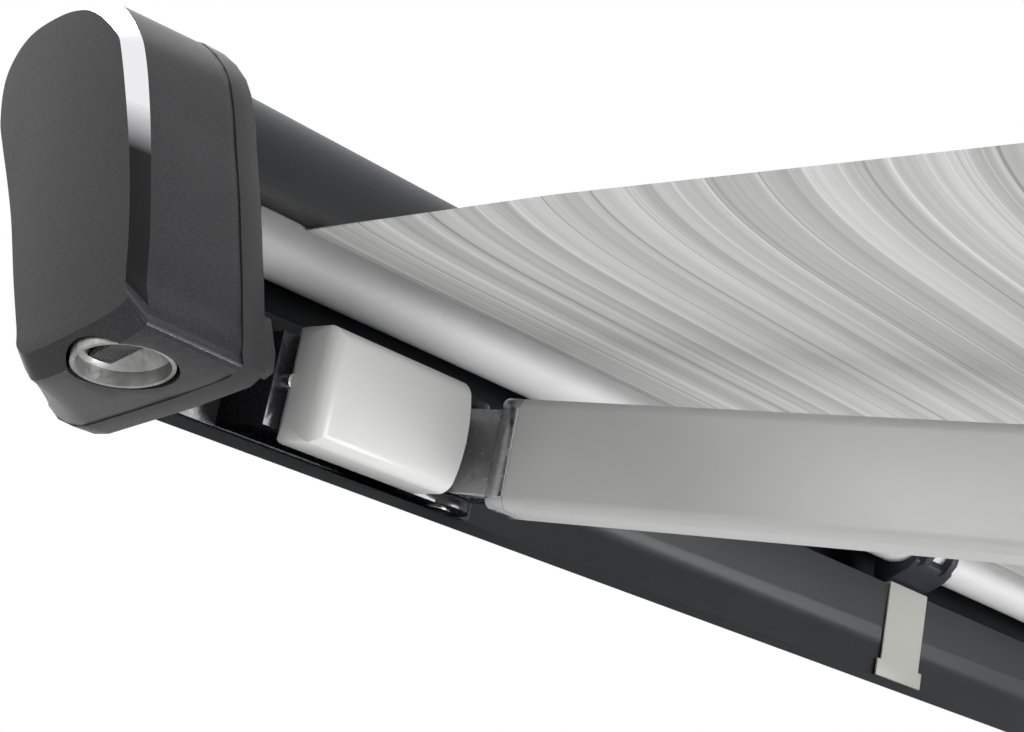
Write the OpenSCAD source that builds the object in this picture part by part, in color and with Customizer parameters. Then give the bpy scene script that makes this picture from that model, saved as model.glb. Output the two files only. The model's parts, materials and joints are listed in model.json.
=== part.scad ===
// Roll out awning in a wall cassette, drawn opened.
// X runs along the wall, Y points to the wall and Z up. The origin is on the wall, midway
// between the four bolts of the middle bracket. Sections are drawn as (distance out from the
// wall, height over the end cap's underside) and sunk by bolt_h at the end.

/* [Cassette] */
// Length between the two end cap joints
case_l = 2500; // [2000:50:3400]
// Radius of the round roof of the housing
roof_r = 45.4; // [44:0.2:50]
// Wall thickness of the housing extrusion
case_wall = 2.4; // [1.8:0.2:3]
// Height of the wall bolts over the end cap's underside
bolt_h = 68; // [60:1:76]
// Thickness of an end cap base along the cassette
base_t = 9; // [7:0.5:11]
// How far an end cap cover stands out from its joint
cover_l = 45; // [40:1:52]
// Wall thickness of an end cap cover
cover_wall = 2.5; // [2:0.1:3]

/* [Arms] */
// From the cap joint to the shoulder pivot
shoulder_in = 155; // [145:1:180]
// From the middle of the awning to each folded elbow pivot
elbow_gap = 75; // [60:5:200]
// How far a shoulder swings from open to folded, degrees
fold_angle = 77.3; // [70:0.1:80]
// How much the plane of the arms slopes down outwards, degrees
pitch = 16.5; // [15:0.1:17]
// Width of an arm tube
arm_w = 24; // [20:1:24]
// Height of an arm tube
arm_h = 44; // [38:1:44]
// Wall thickness of an arm tube
arm_wall = 2; // [1.5:0.1:3]
// Radius of the pivot pins
pin_r = 5; // [4:0.25:6]

/* [Winding] */
// Outer radius of the roller tube
tube_r = 17; // [15:0.5:17]
// Wall thickness of the roller tube
tube_wall = 1.5; // [1:0.1:2.5]
// Turns of fabric left on the roller
roll_turns = 2; // [1:1:3]
// Thickness of the fabric
cloth_t = 0.45; // [0.3:0.05:0.6]
// Gap between neighbouring turns
turn_gap = 0.45; // [0.42:0.01:0.6]
// Radius of the crank socket in the cap's underside
crank_r = 16.4; // [14:0.1:16.8]
// How far the fabric's middle sags
cloth_sag = 18; // [6:1:22]

/* [Legs] */
// Length of an outer leg tube
leg_l = 1000; // [700:10:1050]
// Width of an outer leg tube, front to back
leg_w = 17; // [15:0.5:17]
// Height of an outer leg tube as it lies in the rail
leg_h = 11; // [9:0.5:11]
// Wall thickness of a leg tube
leg_wall = 1.5; // [1:0.1:2]

/* [Hidden] */

$fn = 48;
eps = 0.01;
fit = 0.2;          // gap round a piece that is pushed into another
run = 0.05;         // radial play of a running bore
joint_x = case_l / 2;

// housing section
roof_at = [48, 95];
roof_from = -16.6;  // angle of the front lip on the roof circle
bead_r = 2.6;
seal_t = 1.4;       // thickness of the seal round the bead
lip_at = roof_at + (roof_r - case_wall / 2) * [cos(roof_from), sin(roof_from)];
back_d = roof_at[0] - roof_r;
sill = [50, 7];
sill_rise = 5.5;
slope = 0.5556;     // rise of the housing's sloping underside towards the wall
chamber_h = 74;     // height of the chamber that carries the arms and the straps

// arm plane: b runs outwards and down, a stands square to it
b_dir = [cos(pitch), -sin(pitch)];
a_dir = [sin(pitch), cos(pitch)];
arm_gap = 1;
pivot_off = (arm_w + arm_gap) / 2;
shoulder_at = [48.5, 16 + arm_h / 2];
arm_reach = joint_x - shoulder_in - elbow_gap;
pivot_l = sqrt(arm_reach * arm_reach + pivot_off * pivot_off);
rest_angle = fold_angle + asin(pivot_off / pivot_l);
travel = 2 * pivot_l * sin(rest_angle) - 2 * pivot_off;
knuckle_r = 14;
knuckle_h = arm_h - 9.4;
tube_from = 38;
web_l = 8;
elbow_h = 24;
front_r = 11;
front_h = 30;
ear_t = 5;

// winding
roller_at = [46, 104];
roll_pitch = cloth_t + turn_gap;
roll_r = tube_r + roll_turns * roll_pitch;
cloth_in = 44;      // from the cap joint to the fabric's side edge
cloth_w = case_l - 2 * cloth_in;
crank_at = [83.7, -25.5];
keder_at = [91, 66];
keder_r = 2.4;

// lead rail
rail_in = 22;
rail_l = case_l - 2 * rail_in;
rail_skin = 2;
rail_cap_t = 5;
leg_at = [92.8, 7.5];
leg_in = 50;
leg_pin_r = 2.5;
channel_gap = 1;
channel_wall = 1.8;
collar_l = 32;
foot_l = 26;

// colours
anthracite = [0.2, 0.21, 0.22];
black = [0.09, 0.09, 0.1];
silver = [0.72, 0.72, 0.72];
zinc = [0.8, 0.8, 0.78];
grey_strip = [0.6, 0.6, 0.57];
dark_steel = [0.25, 0.26, 0.27];
cloth = [0.66, 0.66, 0.66];

// Places and helpers

// a section drawn as (out, up), run along X from x for the length l
module run_x(x, l) {
    translate([x + l, 0, -bolt_h]) rotate([90, 0, -90]) linear_extrude(l) children();
}

// a cylinder along X with its axis at a section point
module rod_x(x, l, p, r) {
    translate([x, -p[0], p[1] - bolt_h]) rotate([0, 90, 0]) cylinder(h = l, r = r);
}

// the arm plane's own axes at the left shoulder: X along the wall, -Y outwards
module at_shoulder() {
    translate([shoulder_in - joint_x, -shoulder_at[0], shoulder_at[1] - bolt_h])
        rotate([pitch, 0, 0]) children();
}

// the left upper arm's own axes, X along the tube, at rest
module at_upper() {
    at_shoulder() rotate([0, 0, -fold_angle]) children();
}

// the left forearm's own axes at its front pivot, X along the tube, at rest
module at_front() {
    at_shoulder() translate([0, -travel - 2 * pivot_off, 0]) rotate([0, 0, fold_angle]) children();
}

// from the closed rail's place to the opened one
module opened() {
    translate([0, -travel * cos(pitch), -travel * sin(pitch)]) children();
}

module right_side() {
    mirror([1, 0, 0]) children();
}

module both() {
    children();
    right_side() children();
}

// End cap outlines, from the front bottom corner up the front and down the wall side

joint_line = [[110, 7], [109.5, 18], [108.5, 32], [107, 46], [105, 65], [102, 85], [99, 105],
    [94, 121], [81, 138], [67, 146], [53, 149], [37, 148], [21, 141], [9, 130], [3, 112],
    [2, 99], [2, 81], [2, 62], [2, 42], [6, 22], [22, 9], [44, 5], [104, 0]];
bevel_line = [[109.8, 8], [108.3, 19], [108.3, 33], [107.3, 47], [105.8, 63], [103.3, 82], [99.3, 103],
    [94.3, 117], [82.3, 134], [68.3, 142], [54.3, 145.5], [39.3, 145.5], [28.3, 140],
    [22.3, 129], [22.3, 111], [25.3, 98], [30.8, 80], [35.3, 63], [39.8, 40], [44.3, 18],
    [48.3, 8], [59.3, 2], [105.3, 1.5]];
face_line = [[108.4, 14.4], [108.4, 20.4], [108.4, 26.4], [107.7, 40.4], [105.7, 58.4], [102.7, 76.4],
    [96.7, 103.4], [92.7, 113.4], [80.4, 127.4], [68.4, 134.4], [55.4, 137.4], [42.4, 137.4],
    [33.4, 132.4], [28.4, 123.4], [28.4, 108.4], [31.4, 97.4], [37.4, 79.4], [42.4, 62.4],
    [47.4, 39.4], [52.4, 19.4], [54.4, 11.4], [64.4, 7.4], [106.4, 7.4]];

function spline(p, i, t) = let (n = len(p), a = p[(i + n - 1) % n], b = p[i], c = p[(i + 1) % n],
    d = p[(i + 2) % n])
    0.5 * (2 * b + (c - a) * t + (2 * a - 5 * b + 4 * c - d) * t * t
    + (3 * b - a - 3 * c + d) * t * t * t);
function smooth(p, n) = [for (i = [0:len(p) - 1]) for (k = [0:n - 1]) spline(p, i, k / n)];
function inset(p, t) = [for (i = [0:len(p) - 1]) let (n = len(p), v = p[(i + 1) % n] - p[(i + n - 1) % n])
    p[i] - t * [v[1], -v[0]] / norm(v)];

bevel_t = 8;        // depth of the bevelled edge along the cassette

// a closed skin through outlines of equal count, each lying at its own x
module loft(rings, xs) {
    n = len(rings[0]);
    m = len(rings);
    points = [for (j = [0:m - 1]) for (q = rings[j]) [xs[j], -q[0], q[1] - bolt_h]];
    sides = [for (j = [0:m - 2]) for (i = [0:n - 1]) let (k = (i + 1) % n)
        each [[j * n + i, (j + 1) * n + i, j * n + k], [j * n + k, (j + 1) * n + i, (j + 1) * n + k]]];
    first = [for (i = [0:n - 1]) i];
    last = [for (i = [0:n - 1]) m * n - 1 - i];
    polyhedron(points, concat(sides, [first, last]));
}

// Housing

module roof_sector(from) {
    reach = 3 * roof_r;
    polygon([roof_at, roof_at + reach * [cos(from), sin(from)], roof_at + [reach, reach],
        roof_at + [-reach, reach], roof_at + [-reach, 0]]);
}

module roof_ring(r_out, r_in, from) {
    intersection() {
        difference() {
            translate(roof_at) circle(r_out, $fn = 96);
            translate(roof_at) circle(r_in, $fn = 96);
        }
        roof_sector(from);
    }
}

function sill_line(d) = sill[1] + (sill[0] - d) * slope;
floor_t = case_wall * 1.15;
web_foot = [22.7, sill_line(22.7) + floor_t];
web_head = [web_foot[0] + (chamber_h - web_foot[1]) * tan(pitch), chamber_h];
web_y = (shoulder_at - web_foot) * b_dir;   // from the shoulder pivot back to the chamber

module housing_section() {
    front = sill[0] - case_wall;
    web = [case_wall, 0];
    wall_in = back_d + case_wall;
    roof_ring(roof_r, roof_r - case_wall, roof_from);
    translate(lip_at) circle(bead_r);
    // wall web, sloping underside with its lip, and the chamber behind the arms
    difference() {
        polygon([[back_d, sill_line(back_d)], sill, sill + [0, sill_rise - 1], [front, sill[1] + sill_rise],
            [front, sill_line(front) + floor_t], web_foot, web_head, web_head - web,
            [wall_in, chamber_h - 4], [wall_in, roof_at[1] + 1], [back_d, roof_at[1] + 1]]);
        polygon([[wall_in, sill_line(wall_in) + floor_t], web_foot - web * 1.1, web_head - web * 1.1 - [0.5, 2.4],
            [wall_in, chamber_h - 6.4]]);
    }
    // screw ports
    for (p = screw_ports) translate(p) circle(4.2);
    for (i = [0, 1]) translate([back_d + 1, screw_ports[i][1] - 2]) square([6.5, 4]);
}

screw_ports = [[back_d + 7.5, 42], [back_d + 7.5, 84], roof_at + [2, roof_r - 5.5]];
screw_r = 2;

module housing_profile() {
    color(anthracite)
    difference() {
        run_x(base_t - joint_x, case_l - 2 * base_t) housing_section();
        for (p = screw_ports) rod_x(-joint_x, case_l, p, screw_r);
        both() at_shoulder() for (x = bolt_xs) translate([x, web_y + 5, 0]) rotate([90, 0, 0])
            cylinder(h = 8, r = shoulder_bolt_r + fit);
    }
}

module lip_seal() {
    color(black)
    run_x(base_t + 6 - joint_x, case_l - 2 * base_t - 12)
        difference() {
            translate(lip_at) circle(bead_r + seal_t);
            translate(lip_at) circle(bead_r);
            translate(lip_at) rotate(100) translate([0, -10]) square([20, 20]);
        }
}

// End caps

module cap_base_body() {
    difference() {
        union() {
            run_x(-joint_x, base_t)
                intersection() {
                    polygon(smooth(joint_line, 2));
                    translate([0.5, -5]) square(200);
                }
            // collar that runs down to the roof
            intersection() {
                translate([base_t - joint_x, -roof_at[0], roof_at[1] - bolt_h]) rotate([0, 90, 0])
                    cylinder(h = 5, r1 = roof_r + 5, r2 = roof_r + 1.6, $fn = 96);
                run_x(-joint_x, 40) intersection() {
                    roof_sector(roof_from + 6);
                    translate([1, 0]) square(200);
                }
            }
            // bulge at the front foot
            run_x(base_t - joint_x - eps, 5)
                polygon([[109, 5], [109.3, 12], [106.5, 25], [104.5, 25], [104.5, 4]]);
        }
        translate([base_t - joint_x, -roof_at[0], roof_at[1] - bolt_h]) rotate([0, 90, 0])
            cylinder(h = 20, r = roof_r + 0.05, $fn = 96);
        // recess that the cover's rim sits in
        run_x(-joint_x - eps, 1.5) polygon(inset(smooth(joint_line, 2), 5));
        // notch on the front edge
        translate([2 - joint_x, -115, 96.5 - bolt_h]) cube([base_t, 12.5, 1.8]);
        rod_x(-joint_x - 5, 50, roller_at, bush_r);
        for (p = screw_ports) rod_x(-joint_x - 5, 50, p, screw_r + 0.3);
        // windows for the gearbox's feet
        rod_x(-joint_x - 5, 50, [76, 60], 2);
    }
}

bush_r = 11;
plug_r = 7;

module left_cap_base() {
    color(black) cap_base_body();
}

module right_cap_base() {
    color(black) right_side() cap_base_body();
}

module cap_cover_body(socket) {
    outer = [smooth(joint_line, 3), smooth(bevel_line, 3), smooth(face_line, 3)];
    inner = [for (r = outer) inset(r, cover_wall)];
    bevel_x = -cover_l + bevel_t;
    difference() {
        loft([inset(outer[0], 0.5), outer[1], outer[2]],
            [-joint_x, bevel_x - joint_x, -cover_l - joint_x]);
        loft([inner[0], inner[1], inner[2]],
            [1 - joint_x, bevel_x - joint_x, cover_wall - cover_l - joint_x]);
        if (socket) translate([crank_at[1] - joint_x, -crank_at[0], -bolt_h - 5])
            cylinder(h = 14, r = crank_r + 1.2);
    }
}

module left_cap_cover() {
    color(anthracite) cap_cover_body(true);
}

module right_cap_cover() {
    color(anthracite) right_side() cap_cover_body(false);
}

module cap_screws() {
    color(zinc) both() for (p = screw_ports) {
        rod_x(-joint_x - 0.9, 24, p, screw_r);
        rod_x(-joint_x - 0.9, 2.35, p, 3);
    }
}

// Shoulders

block_x = [-107, -17.5];
block_front = -29.8;
plate_t = 3.4;
block_back = web_y - plate_t - 0.05;
block_rear = -10.5; // back of the light block, on the dark bracket
ear_back = 10.3;    // how far the ears reach back from the pivot
body_h = 35;        // height of the bracket behind the block
block_step = 4;     // the plate's lower edge stays clear of the housing's underside

// points on an arc, for an outline drawn as one polygon
function arc_points(centre, r, from, to, n = 6) =
    [for (i = [0:n]) let (a = from + (to - from) * i / n) centre + r * [cos(a), sin(a)]];

block_round = 15; // corner towards the cap, seen from above
block_corner = 8; // its corners seen from the front
block_end_r = 62; // its end at the pivot bulges a little
block_edge = 5;   // long front edges

module block_plan() {
    difference() {
        polygon(concat([[block_x[1], block_front], [block_x[1], block_rear], [block_x[0] + 4, block_rear]],
            arc_points([block_x[0] + block_round, block_front + block_round], block_round, 180, 270)));
        circle(knuckle_r + 8);
    }
}

// the block seen from the front: rounded corners and a bulging end at the pivot
module block_front_view() {
    side = arm_h / 2;
    bulge = asin(side / block_end_r);
    polygon(concat(
        arc_points([block_x[0] + block_corner, side - block_corner], block_corner, 180, 90),
        arc_points([block_x[1] - block_end_r, 0], block_end_r, bulge, -bulge, 10),
        arc_points([block_x[0] + block_corner, block_corner - side], block_corner, 270, 180)));
}

module block_side_view() {
    side = arm_h / 2 + 0.01;
    polygon(concat([[block_rear + 1, side], [block_rear + 1, -side]],
        arc_points([block_front + block_edge, block_edge - side], block_edge, 270, 180),
        arc_points([block_front + block_edge, side - block_edge], block_edge, 180, 90)));
}

module shoulder_block_body() {
    at_shoulder() difference() {
        intersection() {
            translate([0, 0, -arm_h]) linear_extrude(2 * arm_h) block_plan();
            rotate([90, 0, 0]) linear_extrude(100, center = true) block_front_view();
            translate([-200, 0, 0]) rotate([90, 0, 90]) linear_extrude(300) block_side_view();
        }
        for (x = bolt_xs) translate([x, block_rear + 1, 0]) rotate([90, 0, 0])
            cylinder(h = 8, r = shoulder_bolt_r);
    }
}

bolt_xs = [-92, -42];
shoulder_bolt_r = 3;

module left_shoulder_block() {
    color(silver) shoulder_block_body();
}

module right_shoulder_block() {
    color(silver) right_side() shoulder_block_body();
}

// the dark bracket on the housing's chamber, which carries a block and the shoulder pivot
module shoulder_plates() {
    ear_from = knuckle_h / 2 + 0.35;
    body_x = [block_x[0] + 9, -20];
    color(dark_steel) both() at_shoulder() difference() {
        union() {
            translate([block_x[0] - 8, block_back, block_step - arm_h / 2]) cube([152, plate_t, 32]);
            translate([body_x[0], block_rear + 0.05, -body_h / 2])
                cube([body_x[1] - body_x[0], block_back - block_rear + 1, body_h]);
            for (s = [0, 1]) mirror([0, 0, s]) translate([0, 0, ear_from])
                linear_extrude(arm_h / 2 - ear_from) {
                    intersection() {
                        circle(knuckle_r);
                        translate([-50, -25]) square([100, 25 + ear_back]);
                    }
                    translate([body_x[1] - 6, block_rear + 0.05]) square([-body_x[1] + 6, ear_back - block_rear - 0.05]);
                }
            for (s = [-1, 1]) translate([body_x[1] - 6, block_rear + 0.05, s > 0 ? body_h / 2 - 4 : -arm_h / 2])
                cube([6, ear_back - block_rear - 0.05, (arm_h - body_h) / 2 + 4]);
        }
        translate([0, 0, -arm_h]) cylinder(h = 2 * arm_h, r = pin_r);
        for (x = bolt_xs) translate([x, block_back + 10, 0]) rotate([90, 0, 0])
            cylinder(h = 60, r = shoulder_bolt_r);
    }
}

module shoulder_bolts() {
    color(zinc) both() at_shoulder() for (x = bolt_xs) {
        translate([x, web_y + case_wall + 0.1, 0]) rotate([90, 0, 0])
            cylinder(h = web_y + case_wall - block_rear + 5, r = shoulder_bolt_r);
        translate([x, web_y + case_wall + 2.9, 0]) rotate([90, 0, 0]) cylinder(h = 2.8, r = 5, $fn = 6);
    }
}

module shoulder_pins() {
    color(zinc) both() at_shoulder() {
        translate([0, 0, -arm_h / 2 - 0.6]) cylinder(h = arm_h + 1.2, r = pin_r);
        translate([0, 0, -arm_h / 2 - 0.6]) cylinder(h = 0.6, r = pin_r + 2);
        translate([0, 0, arm_h / 2]) cylinder(h = 0.6, r = pin_r + 2);
    }
}

// Wall brackets

bracket_w = 96;
bracket_xs = [-0.72, 0, 0.72];
wall_bolt = [60, 40];
wall_bolt_r = 3.25;

module wall_brackets() {
    color(dark_steel) for (k = bracket_xs) translate([k * joint_x, 0, 0]) difference() {
        run_x(-bracket_w / 2, bracket_w) translate([0, 36]) square([back_d, 68]);
        for (x = [-1, 1]) for (z = [-1, 1])
            translate([x * wall_bolt[0] / 2, eps, z * wall_bolt[1] / 2]) rotate([90, 0, 0])
                cylinder(h = 20, r = wall_bolt_r);
    }
}

// Roller supports

strap_xs = [-722, 722];
strap_w = 37;
strap_t = 1.4;
web_lean = atan2(web_head[0] - web_foot[0], web_head[1] - web_foot[1]);

module strap_section() {
    foot = web_foot + [1, 1.5];
    head = web_head;
    polygon([foot + [0.1, 0], foot + [strap_t, 0], head + [strap_t, 1.4], head + [0, 2], head + [-9, 2],
        head + [-9, 0.3], head + [0.1, 0.3]]);
}

module roller_straps() {
    color(grey_strip) for (x = strap_xs) {
        run_x(x - strap_w / 2, strap_w) strap_section();
        run_x(x - strap_w / 2 - 3.5, strap_w + 7) intersection() {
            strap_section();
            square([200, web_foot[1] + 10]);
        }
    }
}

module roller_cradles() {
    under = roller_at - [0, roll_r];
    color(black) for (x = strap_xs) {
        run_x(x - strap_w / 2, strap_w)
            difference() {
                polygon([web_head + [-9, 2.4], web_head + [1.5, 3.2], under + [4, -5], under + [9, -2],
                    under + [9, 4], under + [-15, 7.5], web_head + [-9, 9]]);
                translate(roller_at) circle(roll_r + 0.5);
            }
        for (k = [-1, 1]) run_x(x + k * 11 - 3, 6)
            difference() {
                polygon([under + [3, -4.5], under + [10, -3.5], under + [15, 0.5], under + [18, 6],
                    under + [16.5, 7], under + [11, 3.5], under + [3, 1]]);
                translate(roller_at) circle(roll_r + 0.5);
            }
    }
}

// Winding parts

gear_x = [-31, -9];

module winding_gearbox() {
    color(dark_steel) difference() {
        union() {
            run_x(gear_x[0] - joint_x, gear_x[1] - gear_x[0]) {
                translate(roller_at) circle(12.5);
                polygon([roller_at + [-8, -9.6], [72, 56], [92, 56], [92, 76], roller_at + [8, 9.6]]);
            }
            run_x(gear_x[1] - joint_x, 1.45 - gear_x[1]) translate([70, 55]) square([12, 12]);
            translate([crank_at[1] - joint_x, -crank_at[0], 50 - bolt_h]) cylinder(h = 12, r = 9);
        }
        rod_x(-joint_x - 40, 60, roller_at, plug_r + run);
        translate([crank_at[1] - joint_x, -crank_at[0], 40 - bolt_h]) cylinder(h = 28, r = 5 + run);
        rod_x(-joint_x - 8, 20, [76, 60], 1.8);
    }
}

module roller_bushes() {
    color(zinc) both() difference() {
        rod_x(1.5 - joint_x, base_t + 1.5, roller_at, bush_r);
        rod_x(-joint_x - 5, 50, roller_at, plug_r + run);
    }
}

roller_from = base_t + 6;

module roller_tube() {
    color(silver) difference() {
        rod_x(roller_from - joint_x, case_l - 2 * roller_from, roller_at, tube_r);
        rod_x(roller_from - joint_x - 5, case_l, roller_at, tube_r - tube_wall);
        run_x(-joint_x, case_l) translate(roller_at + [-1.5, -tube_r - 1]) square([3, 4]);
    }
}

module roller_plug_body(reach) {
    rod_x(roller_from - joint_x, 30, roller_at, tube_r - tube_wall);
    rod_x(roller_from - 1.5 - joint_x, 1.5, roller_at, tube_r);
    rod_x(reach - joint_x, roller_from - reach, roller_at, plug_r);
}

module left_roller_plug() {
    color(black) roller_plug_body(gear_x[0] + 3);
}

module right_roller_plug() {
    color(black) right_side() roller_plug_body(3);
}

// the fabric wound on the tube, one unbroken strip
module fabric_roll() {
    steps = roll_turns * 40;
    start = tube_r + 0.05;
    echo(least_turn_gap = roll_pitch - cloth_t);
    color(cloth) run_x(cloth_in - joint_x, cloth_w) translate(roller_at)
        polygon(concat(
            [for (i = [0:steps]) let (w = 90 - cloth_slope + i * 9, r = start + roll_pitch * (steps - i) / 40)
                r * [cos(w), sin(w)]],
            [for (i = [steps:-1:0]) let (w = 90 - cloth_slope + i * 9,
                r = start + cloth_t + roll_pitch * (steps - i) / 40) r * [cos(w), sin(w)]]));
}

module crank_cup() {
    color(zinc) translate([crank_at[1] - joint_x, -crank_at[0], -bolt_h]) difference() {
        union() {
            translate([0, 0, 2.2]) cylinder(h = 5, r = crank_r);
            translate([0, 0, 7.2]) cylinder(h = 16, r1 = crank_r, r2 = 9);
        }
        translate([0, 0, 2]) cylinder(h = 5.3, r = crank_r - 1.4);
        translate([0, 0, 7.2]) cylinder(h = 13, r1 = crank_r - 1.4, r2 = 7);
        translate([-4.5, -40, 9]) cube([9, 80, 9]);
    }
}

module crank_shaft() {
    color(dark_steel) translate([crank_at[1] - joint_x, -crank_at[0], -bolt_h]) {
        translate([0, 0, 23.2]) cylinder(h = 44, r = 5);
        translate([0, 0, 30]) cylinder(h = 3, r = 7);
    }
}

// Fabric: from the roller over the lip and straight out to the rail

cloth_wrap = 35.5;  // the way the cloth bends round the seal, off the vertical
cloth_lip = lip_at - (bead_r + seal_t + 0.8 + cloth_t) * [sin(cloth_wrap), cos(cloth_wrap)];
leave_r = roll_r + 1;   // the canopy leaves just outside the last turn
cloth_slope = asin(leave_r / norm(cloth_lip - roller_at))
    + atan2(roller_at[1] - cloth_lip[1], cloth_lip[0] - roller_at[0]);
cloth_top = roller_at + leave_r * [sin(cloth_slope), cos(cloth_slope)];
cloth_end = keder_at + (travel - keder_r - 0.3) * b_dir;
rows = 14;
columns = 20;

function cloth_point(v) = v <= 0 ? cloth_top : cloth_lip + (cloth_end - cloth_lip) * (v - 1) / (rows - 1);
function cloth_dip(u, v) = v < 1 ? 0 : let (s = (v - 1) / (rows - 1), e = min(u, 1 - u) * columns / 3)
    cloth_sag * 4 * s * (1 - s) * (0.5 + 0.5 * (e >= 1 ? 1 : sin(90 * e)));
function cloth_grid(lift) = [for (j = [0:rows]) for (i = [0:columns])
    let (u = i / columns, p = cloth_point(j)) [(u - 0.5) * cloth_w, -p[0],
    p[1] - bolt_h - cloth_dip(u, j) + lift]];

module canopy() {
    n = columns + 1;
    total = (rows + 1) * n;
    top = [for (j = [0:rows - 1]) for (i = [0:columns - 1]) let (k = j * n + i)
        each [[k, k + 1, k + n], [k + 1, k + n + 1, k + n]]];
    under = [for (f = top) [f[2] + total, f[1] + total, f[0] + total]];
    rim = concat([for (i = [0:columns]) i], [for (j = [1:rows]) j * n + columns],
        [for (i = [columns - 1:-1:0]) rows * n + i], [for (j = [rows - 1:-1:1]) j * n]);
    edge = [for (i = [0:len(rim) - 1]) let (p = rim[i], q = rim[(i + 1) % len(rim)])
        each [[p, p + total, q], [q, p + total, q + total]]];
    color(cloth) polyhedron(concat(cloth_grid(cloth_t), cloth_grid(0)), concat(top, under, edge));
}

// Arms, each drawn along its tube's own X

module tube_plan(w, h, r) {
    for (s = [-1, 1]) for (t = [-1, 1])
        translate([s * (w / 2 - r), t * (h / 2 - r)]) circle(r);
    square([w - 2 * r, h], center = true);
    square([w, h - 2 * r], center = true);
}

module arm_bar(x, l, w, h, r) {
    translate([x, 0, 0]) rotate([90, 0, 90]) linear_extrude(l) tube_plan(w, h, r);
}

tube_to = arm_reach - 35;

module arm_tube() {
    difference() {
        arm_bar(tube_from, tube_to - tube_from, arm_w, arm_h, 5);
        arm_bar(tube_from - 1, tube_to - tube_from + 2, arm_w - 2 * arm_wall, arm_h - 2 * arm_wall, 3);
    }
}

// solid foot that plugs an arm tube's end and stands before it
module arm_plug(x, dir) {
    plug_l = 28;
    arm_bar(dir > 0 ? x - web_l : x, web_l, arm_w, arm_h, 5);
    arm_bar(dir > 0 ? x : x - plug_l, plug_l, arm_w - 2 * arm_wall - fit, arm_h - 2 * arm_wall - fit, 3);
}

module shoulder_knuckle_body() {
    difference() {
        union() {
            translate([0, 0, -knuckle_h / 2]) cylinder(h = knuckle_h, r = knuckle_r - 1.5);
            translate([0, -8, -knuckle_h / 2]) cube([tube_from - web_l, 16, knuckle_h]);
            arm_plug(tube_from, 1);
        }
        translate([0, 0, -arm_h]) cylinder(h = 2 * arm_h, r = pin_r + run);
    }
}

elbow_at = [arm_reach, -pivot_off];
fork_from = elbow_h / 2 + 0.3;

module elbow_fork_body() {
    difference() {
        union() {
            arm_plug(tube_to, -1);
            translate([tube_to, -arm_w / 2, -arm_h / 2 + 2]) cube([18, arm_w, arm_h - 4]);
            for (s = [0, 1]) mirror([0, 0, s]) translate([0, 0, fork_from])
                linear_extrude(arm_h / 2 - 2 - fork_from) {
                    translate(elbow_at) circle(knuckle_r);
                    polygon([[tube_to + 17, arm_w / 2], elbow_at + [0, knuckle_r],
                        elbow_at + [0, -knuckle_r], [tube_to + 17, -arm_w / 2]]);
                }
        }
        translate([elbow_at[0], elbow_at[1], -arm_h]) cylinder(h = 2 * arm_h, r = pin_r);
    }
}

module elbow_pin_body() {
    translate([elbow_at[0], elbow_at[1], -arm_h / 2 + 1.4]) cylinder(h = arm_h - 2.8, r = pin_r);
    for (s = [0, 1]) mirror([0, 0, s]) translate([elbow_at[0], elbow_at[1], arm_h / 2 - 2])
        cylinder(h = 0.6, r = pin_r + 2);
}

// the forearm is the upper arm's mirror image, so its elbow lies at +Y
module elbow_knuckle_body() {
    difference() {
        union() {
            arm_plug(tube_to, -1);
            translate([tube_to, -arm_w / 2, -arm_h / 2 + 2]) cube([18, arm_w, arm_h - 4]);
            translate([0, 0, -elbow_h / 2]) linear_extrude(elbow_h) {
                translate([elbow_at[0], -elbow_at[1]]) circle(knuckle_r - 0.5);
                polygon([[tube_to + 17, -arm_w / 2], [elbow_at[0], -elbow_at[1] - knuckle_r + 0.5],
                    [elbow_at[0], -elbow_at[1] + knuckle_r - 0.5], [tube_to + 17, arm_w / 2]]);
            }
        }
        translate([elbow_at[0], -elbow_at[1], -arm_h]) cylinder(h = 2 * arm_h, r = pin_r + run);
    }
}

module front_knuckle_body(play) {
    difference() {
        union() {
            translate([0, 0, -front_h / 2]) cylinder(h = front_h, r = front_r);
            translate([0, -8, -front_h / 2]) cube([tube_from - web_l, 16, front_h]);
            arm_plug(tube_from, 1);
        }
        translate([0, 0, -arm_h]) cylinder(h = 2 * arm_h, r = pin_r + play);
    }
}

module left_upper_arm_tube() {
    color(silver) at_upper() arm_tube();
}

module left_shoulder_knuckle() {
    color(dark_steel) at_upper() shoulder_knuckle_body();
}

module left_elbow_fork() {
    color(dark_steel) at_upper() elbow_fork_body();
}

module left_elbow_pin() {
    color(zinc) at_upper() elbow_pin_body();
}

module left_forearm_tube() {
    color(silver) at_front() arm_tube();
}

module left_elbow_knuckle() {
    color(dark_steel) at_front() elbow_knuckle_body();
}

module left_front_knuckle() {
    color(dark_steel) at_front() front_knuckle_body(run);
}

module right_upper_arm_tube() {
    right_side() left_upper_arm_tube();
}

module right_shoulder_knuckle() {
    right_side() left_shoulder_knuckle();
}

module right_elbow_fork() {
    right_side() left_elbow_fork();
}

module right_elbow_pin() {
    right_side() left_elbow_pin();
}

module right_forearm_tube() {
    right_side() left_forearm_tube();
}

module right_elbow_knuckle() {
    right_side() left_elbow_knuckle();
}

module right_front_knuckle() {
    color(dark_steel) right_side() at_front() front_knuckle_body(0.4);
}

// Lead rail, drawn closed and then opened

rail_front = [[99, 84], [101.7, 70], [103.8, 55], [105, 40], [105.7, 25], [106, 9], [105.4, 3.5], [104, 1.5]];
channel_top = leg_at[1] + leg_h / 2 + channel_gap;
channel_back = leg_at[0] - leg_w / 2 - channel_gap;
bracket_t = 2.3;    // thickness of an arm bracket's foot
chamber_b = 12 + 2 * pivot_off + arm_w / 2 + bracket_t + 0.1;
// the chamber's wall-side face at a height
function chamber_at(z) = [shoulder_at[0] + (chamber_b - 12 + (z - shoulder_at[1]) * sin(pitch)) / cos(pitch), z];

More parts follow.
